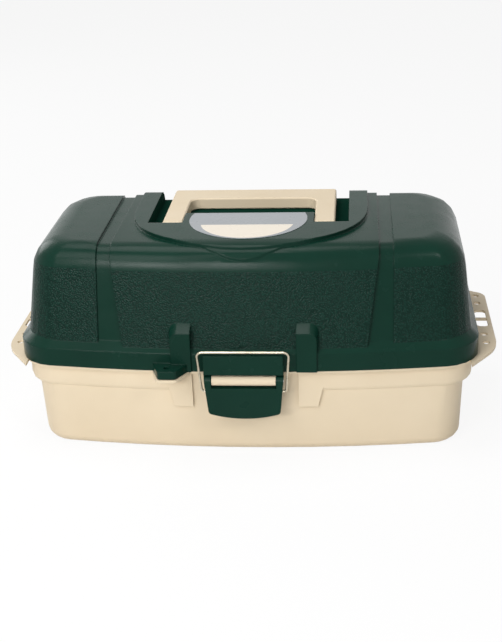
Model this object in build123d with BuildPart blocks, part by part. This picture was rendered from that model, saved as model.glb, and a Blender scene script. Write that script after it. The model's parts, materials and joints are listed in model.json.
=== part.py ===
from build123d import *
import math
import os

os.makedirs("parts", exist_ok=True)

# A moulded tackle box: a cream base, a green lid hinged at the rear, and three trays on
# cantilever arms that rise and step back as the lid opens.
# The origin is at the middle of the base's underside, +X is to the right as seen from the
# front, the front faces -Y and +Z is up. Every size is in millimetres.

# Outline, seen from above. The lid skirt is the widest part of the two shells.
rim_width = 430.0
rim_depth = 214.3
front_bow = 18.3
rim_corner = 38.0
wall = 2.5
corner_facets = 5
bow_facets = 4
shown_turns = 5
hidden_turns = 3

# Base
base_height = 87.5
base_band_bottom = 63.0
base_band_inset = 5.5
base_band_round = 6.5
base_side_inset = 13.0
base_front_inset = 8.0
base_rear_inset = 10.0
base_draft = 2.0
base_floor_round = 10.0
ledge_inset = 1.2
ledge_thickness = 2.4
tongue_height = 7.5
tongue_gap = 0.8
tongue_thickness = 2.0

# Lid
lid_seat_gap = 0.3
lid_height = 109.7
skirt_height = 17.4
shoulder_rise = 7.6
shoulder_width = 8.3
lid_front_draft = 15.0
lid_side_draft = 6.0
lid_rear_draft = 5.5
lid_front_round = 20.0
lid_side_round = 30.0
lid_rear_round = 15.0
lid_top_corner = 24.0
channel_top_depth = 2.4
block_proud = 1.5
panel_proud = 3.4
channel_outer_half = 135.5
panel_half_top = 122.5
panel_half_bottom = 109.4

# Raised platform, handle pocket and label pad on the lid
platform_rise = 3.5
platform_half = 113.0
platform_front_setback = 30.8
platform_straight = 78.0
platform_power = 2.3
platform_facets = 24
lip_rise = 1.5
lip_reach = 6.0
lip_radius = 70.0
pocket_half = 95.0
pocket_length = 124.0
pocket_depth = 13.0
pad_half = 62.0
pad_length = 28.0
label_radius = 56.0
label_length = 73.5
label_thickness = 0.4
label_rear_margin = 1.5

# Handle
handle_thickness = 11.5
handle_floor_gap = 0.5
handle_side_gap = 0.5
handle_arm_width = 19.5
handle_grip_width = 29.0
handle_length = 105.0
handle_front_gap = 1.0
handle_inner_round = 10.0
handle_outer_round = 3.0
handle_edge = 1.2
handle_pin_radius = 2.5
handle_pin_length = 26.0
handle_pin_in_pad = 10.0

# Rear hinge
hinge_spacing = 240.0
hinge_width = 64.0
hinge_lid_share = 30.0
hinge_web = 4.3
hinge_web_gap = 0.4
knuckle_radius = 4.8
knuckle_gap = 0.5
hinge_pin_radius = 1.6
running_gap = 0.05
lid_opening = 94.0

# Latch: catch block on the lid, lever on the base, wire bail on the lever
catch_half = 36.5
catch_proud = 7.2
catch_height = 19.0
catch_lip = 3.0
catch_round = 1.0
catch_groove_depth = 3.5
catch_groove_width = 3.6
post_inner = 48.0
post_outer = 69.5
post_height = 38.0
post_slope = 7.0
post_bevel = 3.0
post_round = 6.5
post_facets = 4
post_proud = 0.6
lever_half = 36.5
lever_foot_half = 33.0
lever_height = 36.5
lever_bulge = 5.0
lever_foot_round = 4.0
lever_top_gap = 1.6
lever_proud = 9.2
lever_plate = 3.0
lever_depth = 8.5
lever_cheek = 3.0
lever_web = 2.5
lever_head = 5.0
lever_window_half = 29.7
lever_window_below_pin = 6.0
lever_pin_radius = 1.5
hinge_block_gap = 0.4
hinge_block_radius = 4.6
bail_wire_radius = 1.1
bail_half_top = 41.5
bail_half_bottom = 38.9
bail_top_above_pin = 30.2
bail_pivot_below_pin = 10.0
bail_corner = 3.0
bail_bend_steps = 3
bail_end_inward = 8.0
bail_pivot_setback = 3.5
bail_catch_gap = 0.5
leg_inner = 49.0
leg_outer_top = 72.0
leg_outer_bottom = 67.0
leg_bottom = 49.0

# Padlock tabs beside the latch
tab_root_outer = 84.0
tab_root_inner = 51.0
tab_tip_outer = 77.0
tab_tip_inner = 61.0
tab_reach = 16.5
tab_height = 7.6
tab_round = 4.0
base_tab_thickness = 3.0
tab_hole_radius = 2.75
tab_hole_x = 69.5
tab_hole_reach = 7.5
base_tab_margin = 1.0

# Carrying ears on the base's ends
ear_reach = 19.0
ear_front = 17.0
ear_front_taper = 39.0
ear_rear = 10.0
ear_rear_taper = 16.0
ear_front_round = 55.0
ear_rear_round = 14.0
ear_centre_from_rear = 89.4
ear_hole_radius = 3.5
ear_hole_sides = 12
ear_hole_out = 9.3
ear_hole_near = 38.4
ear_hole_far = 57.9
ear_slot_width = 11.0
ear_slot_length = 40.0
ear_slot_bar = 2.6
ear_slot_rim = 3.6
ear_slot_chamfer = 2.5
ear_rib = 1.6
ear_rib_drop = 9.0
ear_rib_reach = 8.5
ear_rib_spacing = 48.0

# Trays and the arms that carry them
tray_pitch = 27.6
tray_gap = 2.6
tray_wall = 1.6
tray_floor = 1.6
tray_corner = 4.0
tray_headroom = 7.5
tray_front_room = 4.5
tray_rear_room = 1.0
tray_pivot_height = 8.0
tray_end_pivot = 8.0
tray_front_row = 42.0
divider_thickness = 1.4
divider_gap = 0.15
front_cells = 4
rear_cells = 3
divider_below_rim = 3.0
divider_guide = 1.0
divider_guide_reach = 1.6
arm_thickness = 2.2
arm_width = 11.0
arm_spacing = 25.0
arm_gap = 0.5
link_thickness = 2.0
lid_wall_room = 9.6
rivet_radius = 2.0
rivet_head_radius = 3.4
rivet_head = 1.1
rivet_head_gap = 0.2
rivet_sides = 8
boss_radius = 6.0
bracket_height = 20.0
link_width = 11.0
end_facets = 8

# Places worked out from the sizes above
rim_half = rim_width / 2
front_y = -rim_depth / 2
rear_y = rim_depth / 2
bow_radius = (rim_half**2 + front_bow**2) / (2 * front_bow)
bow_centre_y = front_y + bow_radius
bow_lean = math.asin((rim_half - rim_corner) / (bow_radius - rim_corner))
lid_bottom = base_height + lid_seat_gap
skirt_top = lid_bottom + skirt_height
crease_z = skirt_top + shoulder_rise
lid_top = lid_bottom + lid_height
platform_top = lid_top + platform_rise
pocket_floor = platform_top - pocket_depth
pocket_front_y = rear_y - pocket_length
pocket_under = pocket_floor - wall
hinge_y = rear_y + knuckle_radius + knuckle_gap
hinge_z = lid_bottom


def bow_y(x, inset):
    """Front face's y at x, on an arc parallel to the skirt's front and inset behind it."""
    return bow_centre_y - math.sqrt((bow_radius - inset) ** 2 - x**2)


def corner_points(centre_x, centre_y, radius, first_angle, last_angle, facets):
    """Points round a corner, so that a wall there is made of flat facets."""
    points = []
    for step in range(facets + 1):
        angle = first_angle + (last_angle - first_angle) * step / facets
        points.append((centre_x + radius * math.cos(angle), centre_y + radius * math.sin(angle)))
    return points


def plan_points(side, front, rear, corner):
    """Corners of the box's outline from above, moved in from the skirt by the given amounts.

    The bowed front and the round corners are facets whose directions never change, so walls
    drawn from one height to the next stay flat.
    """
    corner_x = rim_half - side - corner
    bow = bow_radius - front
    front_corner_y = bow_centre_y - math.sqrt((bow - corner) ** 2 - corner_x**2)
    rear_corner_y = rear_y - rear - corner
    facets = []
    for step in range(bow_facets + 1):
        angle = bow_lean * step / (bow_facets + 0.5) - math.pi / 2
        facets.append((angle, bow_centre_y * math.sin(angle) + bow))
    for first_angle, last_angle, centre_y in (
        (bow_lean - math.pi / 2, 0, front_corner_y),
        (0, math.pi / 2, rear_corner_y),
    ):
        for step in range(corner_facets):
            angle = first_angle + (last_angle - first_angle) * (step + 0.5) / corner_facets
            facets.append(
                (angle, corner_x * math.cos(angle) + centre_y * math.sin(angle) + corner)
            )
        reach = corner_x * math.cos(last_angle) + centre_y * math.sin(last_angle) + corner
        facets.append((last_angle, reach))
    right = []
    for (angle, reach), (next_angle, next_reach) in zip(facets, facets[1:]):
        turn = math.sin(next_angle - angle)
        right.append((
            (reach * math.sin(next_angle) - next_reach * math.sin(angle)) / turn,
            (next_reach * math.cos(angle) - reach * math.cos(next_angle)) / turn,
        ))
    return right + [(-x, y) for x, y in reversed(right)]


def outline(side, front, rear, corner):
    """The box's outline from above, moved in from the skirt by the given amounts."""
    with BuildSketch() as shape:
        with BuildLine():
            Polyline(*plan_points(side, front, rear, corner), close=True)
        make_face()
    return shape.sketch_local


def wall_inset(z, start, draft, round_radius, top):
    """How far a lid wall has moved in at height z: a drafted wall, then an arc to the top."""
    lean = math.radians(draft)
    arc_start = top - round_radius * (1 - math.sin(lean))
    straight = start + (min(z, arc_start) - crease_z) * math.tan(lean)
    if z <= arc_start:
        return straight
    rise = min(z - (top - round_radius), round_radius)
    return straight + round_radius * math.cos(lean) - math.sqrt(round_radius**2 - rise**2)


def lid_corner(z, top):
    """Plan corner radius of the lid at height z, smaller towards the top."""
    share = max(0.0, (z - crease_z) / (top - crease_z))
    return rim_corner - (rim_corner - lid_top_corner) * share**3


def stack(sections):
    """Solid through outlines at rising heights, each given as z and what outline() takes."""
    with BuildPart() as form:
        for z, side, front, rear, corner in sections:
            with BuildSketch(Plane.XY.offset(z)):
                add(outline(side, front, rear, corner))
        loft(ruled=True)
    return form.part


def lid_form(proud, rear_proud, top, turns):
    """Solid of the lid above its skirt, standing proud of the channels' walls.

    The top edge's rounds grow with the top, and turns is how many steps make them.
    """
    growth = top - lid_top
    start = shoulder_width - proud
    rear_start = shoulder_width - rear_proud
    round_radius = lid_side_round + growth
    levels = [skirt_top]
    for step in range(turns + 1):
        levels.append(top - round_radius * (1 - math.sin(math.pi / 2 * step / turns)))
    sections = []
    for z in levels:
        side = wall_inset(z, start, lid_side_draft, round_radius, top)
        front = wall_inset(z, start, lid_front_draft, lid_front_round + growth, top)
        rear = wall_inset(z, rear_start, lid_rear_draft, lid_rear_round + growth, top)
        sections.append((z, side, front, rear, lid_corner(z, top)))
    return stack(sections)


def front_strip(half_bottom, half_top, margin):
    """Prism over the middle of the lid, narrower at the bottom, as seen from the front."""
    with BuildPart() as strip:
        with BuildSketch(Plane.XZ):
            with BuildLine():
                Polyline(
                    (-half_bottom + margin, lid_bottom),
                    (half_bottom - margin, lid_bottom),
                    (half_top - margin, lid_top - lid_front_round / 2),
                    (half_top - margin, platform_top + wall),
                    (-half_top + margin, platform_top + wall),
                    (-half_top + margin, lid_top - lid_front_round / 2),
                    close=True,
                )
            make_face()
        extrude(amount=rim_depth, both=True)
    return strip.part


panel_strip = front_strip(panel_half_bottom, panel_half_top, 0)
panel_hollow_strip = front_strip(panel_half_bottom, panel_half_top, wall)
channel_strip = front_strip(channel_outer_half, channel_outer_half, 0)
channel_hollow_strip = front_strip(channel_outer_half, channel_outer_half, -wall)


def shoulder_form(inset):
    """The lid's skirt and the sloping shoulder above it, moved in by inset."""
    sections = []
    for z, side in ((lid_bottom, inset), (skirt_top, inset), (crease_z, inset + shoulder_width)):
        sections.append((z, side, side, side, rim_corner - side / 2))
    return stack(sections)


def box_between(low, high):
    """Plain block between two corners, as a private solid."""
    with BuildPart() as block:
        with BuildSketch(Plane.XY.offset(low[2])):
            with Locations(((low[0] + high[0]) / 2, (low[1] + high[1]) / 2)):
                Rectangle(high[0] - low[0], high[1] - low[1])
        extrude(amount=high[2] - low[2])
    return block.part


def front_prism(points, y_low, y_high):
    """Prism along Y whose outline, seen from the front, is given as (x, z) points."""
    with BuildPart() as prism:
        with BuildSketch(Plane.XZ.offset(-y_high)):
            with BuildLine():
                Polyline(*points, close=True)
            make_face()
        extrude(amount=y_high - y_low)
    return prism.part


def side_prism(points, x_low, x_high):
    """Prism along X whose outline, seen from the side, is given as (y, z) points."""
    with BuildPart() as prism:
        with BuildSketch(Plane.YZ.offset(x_low)):
            with BuildLine():
                Polyline(*points, close=True)
            make_face()
        extrude(amount=x_high - x_low)
    return prism.part


def rod_x(x_start, x_end, y, z, radius):
    """Round bar along X from x_start to x_end."""
    with BuildPart() as rod:
        with BuildSketch(Plane.YZ.offset(min(x_start, x_end))):
            with Locations((y, z)):
                Circle(radius)
        extrude(amount=abs(x_end - x_start))
    return rod.part


def faceted_rod(x_start, x_end, y, z, radius, is_hole):
    """Rivet-like bar along X with flat sides: a rod keeps inside radius, a hole outside it."""
    with BuildPart() as rod:
        with BuildSketch(Plane.YZ.offset(min(x_start, x_end))):
            with Locations((y, z)):
                RegularPolygon(radius, rivet_sides, major_radius=not is_hole)
        extrude(amount=abs(x_end - x_start))
    return rod.part


# The cantilever trays' motion. Seen from the side, every arm turns about a pivot on the base,
# and a link keeps the lid at the arms' angle, so the trays stay level all the way.
closed_angle = (180 - lid_opening) / 2
arm_run = math.cos(math.radians(closed_angle))
arm_rise = math.sin(math.radians(closed_angle))
tray_height = tray_pitch - tray_gap
tray_step = tray_pitch / arm_rise
top_tray_z = pocket_under - tray_headroom
tray_half_length = (
    rim_half
    - wall_inset(top_tray_z, shoulder_width - block_proud, lid_side_draft, lid_side_round, lid_top)
    - wall
    - lid_wall_room
    - arm_thickness
    - arm_gap * 2
    - link_thickness
)
tray_front_y = (
    bow_y(tray_half_length, 0)
    + wall_inset(top_tray_z, shoulder_width - block_proud, lid_front_draft, lid_front_round, lid_top)
    + wall
    + tray_front_room
)
open_reach = hinge_y + pocket_under - hinge_z - tray_rear_room
arm_foot_run = (
    open_reach
    - tray_front_y
    - 2 * tray_end_pivot
    - 6 * tray_step * arm_run
    - arm_spacing
) / 2
arm_foot = arm_foot_run / arm_run
tray_radii = [arm_foot + tray_step * row for row in range(3)]
tray_rear_y = open_reach - 2 * tray_radii[2] * arm_run
pivot_z = top_tray_z - tray_height + tray_pivot_height - tray_radii[2] * arm_rise
rear_pivot_y = tray_rear_y - tray_end_pivot + tray_radii[0] * arm_run
front_pivot_y = rear_pivot_y - arm_spacing
link_radius = (tray_radii[1] + tray_radii[2]) / 2

arm_inner_x = tray_half_length + arm_gap
arm_outer_x = arm_inner_x + arm_thickness
link_inner_x = arm_outer_x + arm_gap
link_outer_x = link_inner_x + link_thickness


def arm_point(base_y, radius):
    """Where an arm's hole lies with the lid closed: the arm leans forward."""
    return (base_y - radius * arm_run, pivot_z + radius * arm_rise)


def tab_outline(margin):
    """Tapered padlock tab left of the latch, from above, for the lid and the base below it."""
    tip_y = front_y - tab_reach - margin
    root_y = front_y + front_bow / 2
    with BuildSketch() as shape:
        with BuildLine():
            Polyline(
                (-tab_root_outer - margin, root_y),
                (-tab_root_outer - margin, bow_y(tab_root_outer, 0)),
                (-tab_tip_outer - margin, tip_y),
                (-tab_tip_inner + margin, tip_y),
                (-tab_root_inner + margin, bow_y(tab_root_inner, 0)),
                (-tab_root_inner + margin, root_y),
                close=True,
            )
        make_face()
        fillet(shape.vertices().sort_by(Axis.Y)[:2], tab_round)
        with Locations((-tab_hole_x, front_y - tab_hole_reach)):
            Circle(tab_hole_radius, mode=Mode.SUBTRACT)
    return shape.sketch_local


def rounded_foot(round_radius, turns):
    """Height and extra inset at each step of a rounded bottom edge."""
    angles = [math.pi / 2 * step / turns for step in range(turns + 1)]
    return [(round_radius * (1 - math.cos(a)), round_radius * (1 - math.sin(a))) for a in angles]


def body_form(inset, bottom, top, turns):
    """The base's tapered body between two heights, with a rounded floor edge."""
    foot = [(bottom + rise, extra) for rise, extra in rounded_foot(base_floor_round - inset, turns)]
    sections = []
    for z, extra in foot + [(top, 0)]:
        taper = (base_band_bottom - z) * math.tan(math.radians(base_draft))
        move = taper + inset + extra
        corner = rim_corner - base_front_inset - inset - extra
        sections.append(
            (z, base_side_inset + move, base_front_inset + move, base_rear_inset + move, corner)
        )
    return stack(sections)


def rim_ring(inset, bottom, top):
    """The rim's outline between two heights, moved in by inset."""
    with BuildPart() as form:
        with BuildSketch(Plane.XY.offset(bottom)):
            add(outline(inset, inset, inset, rim_corner - inset))
        extrude(amount=top - bottom)
    return form.part


# Latch places
lever_top = lid_bottom - lever_top_gap
lever_pin_z = lever_top - lever_head
lever_front_y = front_y - lever_proud
lever_pin_y = lever_front_y + lever_head
lever_window_z = lever_pin_z - lever_window_below_pin
lever_foot_z = lever_pin_z - lever_height
catch_front_y = front_y - catch_proud
bail_pivot_z = lever_pin_z - bail_pivot_below_pin
bail_top_z = lever_pin_z + bail_top_above_pin
bail_top_y = catch_front_y - bail_catch_gap - bail_wire_radius
tongue_inset = wall + tongue_gap
hinge_centres = (-hinge_spacing / 2, hinge_spacing / 2)
base_hinge_inner = hinge_lid_share / 2 + knuckle_gap
link_pin_y = hinge_y - link_radius * arm_run
link_pin_z = hinge_z + link_radius * arm_rise
bail_pivot_y = lever_front_y + bail_pivot_setback
handle_front_y = pocket_front_y + handle_front_gap
handle_pin_y = handle_front_y + handle_thickness / 2
handle_pin_z = pocket_floor + handle_floor_gap + handle_thickness / 2
pad_rear_y = pocket_front_y + pad_length

# The base's hollow: tapered body, the wider band above it and the open tongue at the top
with BuildPart() as base_hollow:
    add(body_form(wall, wall, base_height, hidden_turns))
    band_hollow = rim_ring(base_band_inset + wall, base_band_bottom + wall, base_height)
    latch_wall = box_between(
        (-leg_inner - wall, front_y, 0), (leg_inner + wall, 0, base_height + tongue_height)
    )
    add(band_hollow - latch_wall)
    open_top = base_height + tongue_height + wall
    add(rim_ring(tongue_inset + tongue_thickness, base_height, open_top))

# The band below the rim, rounded underneath and left open behind the latch
with BuildPart() as base_band:
    band = []
    for rise, extra in rounded_foot(base_band_round, hidden_turns):
        inset = base_band_inset + extra
        band.append((base_band_bottom + rise, inset, inset, inset, rim_corner - inset))
    add(stack(band))
    add(rim_ring(base_band_inset, base_band_bottom + base_band_round, base_height))
    leg_top = base_band_bottom + base_band_round
    for side in (1, -1):
        leg_points = (
            (side * leg_inner, leg_bottom),
            (side * leg_outer_bottom, leg_bottom),
            (side * leg_outer_top, leg_top),
            (side * leg_inner, leg_top),
        )
        leg = front_prism(leg_points, front_y, front_y / 2)
        add(leg & rim_ring(base_band_inset, 0, base_height))
    add(
        box_between((-leg_inner, front_y, 0), (leg_inner, front_y / 2, base_height)),
        mode=Mode.SUBTRACT,
    )

# Base shell
with BuildPart() as base_shell:
    add(body_form(0, 0, base_height, shown_turns))
    add(base_band.part)
    add(rim_ring(ledge_inset, base_height - ledge_thickness, base_height))
    add(rim_ring(tongue_inset, base_height, base_height + tongue_height))
    with BuildSketch(Plane.XY.offset(base_height - base_tab_thickness)):
        add(tab_outline(base_tab_margin))
    extrude(amount=base_tab_thickness)
    # Perforated carrying ears, level with the ledge
    ear_x = rim_half + ear_reach
    ear_root_x = rim_half - base_band_inset - wall
    ear_mid_y = rear_y - ear_centre_from_rear
    with BuildSketch(Plane.XY.offset(base_height - ledge_thickness)):
        with BuildSketch() as ear:
            with BuildLine():
                Polyline(
                    (ear_root_x, front_y + ear_front),
                    (ear_x, front_y + ear_front + ear_front_taper),
                    (ear_x, rear_y - ear_rear - ear_rear_taper),
                    (ear_root_x, rear_y - ear_rear),
                    close=True,
                )
            make_face()
            fillet(ear.vertices().group_by(Axis.X)[-1].sort_by(Axis.Y)[0], ear_front_round)
            rear_tip = ear.vertices().sort_by(Axis.Y).group_by(Axis.X)[-1].sort_by(Axis.Y)[-1]
            fillet(rear_tip, ear_rear_round)
            for reach in (ear_hole_near, ear_hole_far):
                with Locations(
                    (rim_half + ear_hole_out, ear_mid_y - reach),
                    (rim_half + ear_hole_out, ear_mid_y + reach),
                ):
                    RegularPolygon(ear_hole_radius, ear_hole_sides, mode=Mode.SUBTRACT)
            with BuildSketch(mode=Mode.PRIVATE) as slot:
                Rectangle(ear_slot_width, ear_slot_length)
                chamfer(slot.vertices(), ear_slot_chamfer)
                Rectangle(ear_slot_width, ear_slot_bar, mode=Mode.SUBTRACT)
            slot_x = ear_x - ear_slot_rim - ear_slot_width / 2
            add(slot.sketch_local.moved(Location((slot_x, ear_mid_y))), mode=Mode.SUBTRACT)
        mirror(about=Plane.YZ)
    extrude(amount=ledge_thickness)
    for y in (ear_mid_y - ear_rib_spacing, ear_mid_y, ear_mid_y + ear_rib_spacing):
        for side in (1, -1):
            rib_x = rim_half - base_band_inset
            rib_points = (
                (side * (rib_x - wall / 2), base_height - ledge_thickness),
                (side * (rib_x + ear_rib_reach), base_height - ledge_thickness),
                (side * (rib_x - wall / 2), base_height - ledge_thickness - ear_rib_drop),
            )
            add(front_prism(rib_points, y - ear_rib / 2, y + ear_rib / 2))
    # Block that the latch lever hinges on
    with BuildSketch(Plane.YZ.offset(-lever_window_half + hinge_block_gap)):
        with Locations((lever_pin_y, lever_pin_z)):
            Circle(hinge_block_radius)
            Rectangle(
                front_y + base_front_inset - lever_pin_y + wall / 2,
                hinge_block_radius * 2,
                align=(Align.MIN, Align.CENTER),
            )
    extrude(amount=2 * (lever_window_half - hinge_block_gap))
    add(base_hollow.part, mode=Mode.SUBTRACT)
    # Brackets inside the ends for the arm pivots, hollow from below
    for side in (1, -1):
        bracket_x = side * (arm_outer_x + arm_gap)
        wall_x = side * (rim_half - base_band_inset - wall / 2)
        low_y = front_pivot_y - boss_radius
        high_y = rear_pivot_y + boss_radius
        top_z = pivot_z + boss_radius
        bottom_z = top_z - bracket_height
        add(box_between(
            (min(bracket_x, wall_x), low_y, bottom_z), (max(bracket_x, wall_x), high_y, top_z)
        ))
        hollow_x = bracket_x + side * wall * 2
        inner_x = wall_x - side * wall / 2
        add(
            box_between(
                (min(hollow_x, inner_x), low_y + wall, bottom_z),
                (max(hollow_x, inner_x), high_y - wall, top_z - wall),
            ),
            mode=Mode.SUBTRACT,
        )
        for y in (front_pivot_y, rear_pivot_y):
            hole_end = bracket_x + side * wall * 2
            add(
                faceted_rod(bracket_x, hole_end, y, pivot_z, rivet_radius, True),
                mode=Mode.SUBTRACT,
            )
    # Outer knuckles of the rear hinges
    for centre in hinge_centres:
        for side in (1, -1):
            start = centre + side * base_hinge_inner
            end = centre + side * hinge_width / 2
            add(rod_x(start, end, hinge_y, hinge_z, knuckle_radius))
            web = (
                (rear_y - base_band_inset - wall / 2, base_height - hinge_web),
                (hinge_y, base_height - hinge_web),
                (hinge_y, base_height),
                (rear_y - base_band_inset - wall / 2, base_height),
            )
            add(side_prism(web, min(start, end), max(start, end)))
            add(
                faceted_rod(start, end, hinge_y, hinge_z, hinge_pin_radius, True),
                mode=Mode.SUBTRACT,
            )
    add(
        rod_x(-lever_half, lever_half, lever_pin_y, lever_pin_z, lever_pin_radius + running_gap),
        mode=Mode.SUBTRACT,
    )
base_shell.part.label = "base_shell"
export_step(base_shell.part, "parts/base_shell.step")


def platform_outline(margin):
    """Lens-like front and straight sides of the raised platform, from above."""
    half = platform_half - margin
    straight_y = rear_y - platform_straight
    reach = straight_y - (front_y + platform_front_setback) - margin
    points = []
    for step in range(platform_facets + 1):
        angle = math.pi * step / platform_facets
        across = abs(math.cos(angle)) ** (2 / platform_power)
        forward = math.sin(angle) ** (2 / platform_power)
        points.append((math.copysign(half * across, math.cos(angle)), straight_y - reach * forward))
    with BuildSketch() as shape:
        with BuildLine():
            Polyline(*points, (-half, rear_y), (half, rear_y), close=True)
        make_face()
    return shape.sketch_local


def platform_strip(margin, bottom):
    """Prism over the platform's outline."""
    with BuildPart() as strip:
        with BuildSketch(Plane.XY.offset(bottom)):
            add(platform_outline(margin))
        extrude(amount=platform_top + wall - bottom)
    return strip.part


channel_top = lid_top - channel_top_depth
platform_bottom = platform_top - lid_front_round
with BuildPart() as lid_outside:
    add(shoulder_form(0))
    add(lid_form(0, 0, channel_top, shown_turns))
    add(lid_form(block_proud, block_proud, lid_top, shown_turns) - channel_strip)
    add(lid_form(panel_proud, panel_proud, lid_top, shown_turns) & panel_strip)
    platform_proud = panel_proud + platform_rise
    raised = lid_form(platform_proud, panel_proud, platform_top, shown_turns)
    add(raised & platform_strip(0, platform_bottom))
    # Low lip in front of the platform
    lip_form = lid_form(panel_proud + lip_rise, panel_proud, lid_top + lip_rise, shown_turns)
    with BuildPart(mode=Mode.PRIVATE) as lip:
        with BuildSketch(Plane.XY.offset(platform_bottom)):
            with Locations((0, front_y + platform_front_setback - lip_reach + lip_radius)):
                Circle(lip_radius)
        extrude(amount=lid_front_round * 2)
        add(box_between(
            (-lip_radius, front_y + platform_straight, 0), (lip_radius, rear_y, platform_top * 2)
        ), mode=Mode.SUBTRACT)
    add(lip_form & lip.part)

with BuildPart() as lid_hollow:
    add(shoulder_form(wall))
    add(lid_form(-wall, -wall, channel_top - wall, hidden_turns))
    blocks = lid_form(block_proud - wall, block_proud - wall, lid_top - wall, hidden_turns)
    add(blocks - channel_hollow_strip)
    panel = lid_form(panel_proud - wall, panel_proud - wall, lid_top - wall, hidden_turns)
    add(panel & panel_hollow_strip)
    platform = lid_form(
        platform_proud - wall, panel_proud - wall, platform_top - wall, hidden_turns
    )
    add(platform & platform_strip(wall, platform_bottom + wall))
    recess = box_between(
        (-pocket_half - wall, pocket_front_y - wall, pocket_under),
        (pocket_half + wall, rear_y, platform_top),
    )
    pad_inside = box_between(
        (-pad_half + wall, pocket_front_y - wall * 2, pocket_under - wall),
        (pad_half - wall, pad_rear_y - wall, platform_top),
    )
    add(recess - pad_inside, mode=Mode.SUBTRACT)


def panel_y(x, z):
    """Y of the lid's front panel at a place on it."""
    start = shoulder_width - panel_proud
    return bow_y(x, wall_inset(z, start, lid_front_draft, lid_front_round, lid_top))


# Lid shell
with BuildPart() as lid_shell:
    add(lid_outside.part)
    # Posts either side of the catch, widening back to the panel
    for side in (1, -1):
        post_top = lid_bottom + post_height
        back_y = panel_y(post_outer, post_top + post_slope) + wall / 2
        with BuildPart(mode=Mode.PRIVATE) as post:
            for y, outer, top, corner in (
                (front_y - post_proud, post_outer - post_bevel, post_top, post_round),
                (back_y, post_outer, post_top + post_slope, post_round + post_bevel),
            ):
                points = [(post_inner, lid_bottom), (outer, lid_bottom)]
                points += corner_points(
                    outer - corner, top - corner, corner, 0, math.pi / 2, post_facets
                )
                points.append((post_inner, top))
                with BuildSketch(Plane.XZ.offset(-y)):
                    with BuildLine():
                        Polyline(*[(side * x, z) for x, z in points], close=True)
                    make_face()
            loft(ruled=True)
        add(post.part)
    # Padlock tab
    with BuildSketch(Plane.XY.offset(lid_bottom)):
        add(tab_outline(0))
    extrude(amount=tab_height)
    # Pocket for the handle, open at the rear, around the pad that carries it
    add(
        box_between(
            (-pocket_half, pocket_front_y, pocket_floor), (pocket_half, rear_y, platform_top + wall)
        )
        - box_between(
            (-pad_half, pocket_front_y - wall, pocket_under), (pad_half, pad_rear_y, platform_top)
        ),
        mode=Mode.SUBTRACT,
    )
    add(lid_hollow.part, mode=Mode.SUBTRACT)
    # Handle bosses inside the pad
    for side in (1, -1):
        boss_end = side * (pad_half - handle_pin_in_pad)
        pad_face = side * (pad_half - wall / 2)
        add(box_between(
            (min(boss_end, pad_face), handle_pin_y - boss_radius, handle_pin_z - boss_radius),
            (max(boss_end, pad_face), handle_pin_y + boss_radius, platform_top - wall / 2),
        ))
        pin_end = side * pad_half
        add(
            rod_x(boss_end, pin_end, handle_pin_y, handle_pin_z, handle_pin_radius),
            mode=Mode.SUBTRACT,
        )
    # Bosses inside the ends for the links
    link_wall = wall_inset(
        link_pin_z, shoulder_width - block_proud, lid_side_draft, lid_side_round, lid_top
    )
    for side in (1, -1):
        boss_x = side * (link_outer_x + arm_gap)
        boss_root = side * (rim_half - link_wall - wall / 2)
        add(faceted_rod(boss_x, boss_root, link_pin_y, link_pin_z, boss_radius, False))
        add(
            faceted_rod(
                boss_x, boss_x + side * wall * 2, link_pin_y, link_pin_z, rivet_radius, True
            ),
            mode=Mode.SUBTRACT,
        )
    # Centre knuckles of the rear hinges
    for centre in hinge_centres:
        start = centre - hinge_lid_share / 2
        end = centre + hinge_lid_share / 2
        web = (
            (rear_y - wall / 2, hinge_z + hinge_web_gap),
            (hinge_y, hinge_z + hinge_web_gap),
            (hinge_y, hinge_z + hinge_web_gap + hinge_web),
            (rear_y - wall / 2, hinge_z + hinge_web_gap + hinge_web),
        )
        add(side_prism(web, start, end))
        add(rod_x(start, end, hinge_y, hinge_z, knuckle_radius))
        add(
            faceted_rod(start, end, hinge_y, hinge_z, hinge_pin_radius + running_gap, True),
            mode=Mode.SUBTRACT,
        )
    # Catch block with the groove for the bail
    with BuildPart() as catch:
        add(box_between(
            (-catch_half, catch_front_y, lid_bottom),
            (catch_half, front_y + wall, lid_bottom + catch_height),
        ))
        fillet(catch.edges().filter_by(Axis.Z).sort_by(Axis.Y)[:2], catch_round)
        add(
            box_between(
                (
                    -catch_half,
                    catch_front_y + catch_lip,
                    lid_bottom + catch_height - catch_groove_depth,
                ),
                (
                    catch_half,
                    catch_front_y + catch_lip + catch_groove_width,
                    lid_bottom + catch_height,
                ),
            ),
            mode=Mode.SUBTRACT,
        )
    add(catch.part - shoulder_form(wall))
lid_shell.part.label = "lid_shell"
export_step(lid_shell.part, "parts/lid_shell.step")

# Hinge pins
with BuildPart() as hinge_pins:
    for centre in hinge_centres:
        half = hinge_width / 2
        add(rod_x(centre - half, centre + half, hinge_y, hinge_z, hinge_pin_radius))
hinge_pins.part.label = "hinge_pins"
export_step(hinge_pins.part, "parts/hinge_pins.step")

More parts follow.
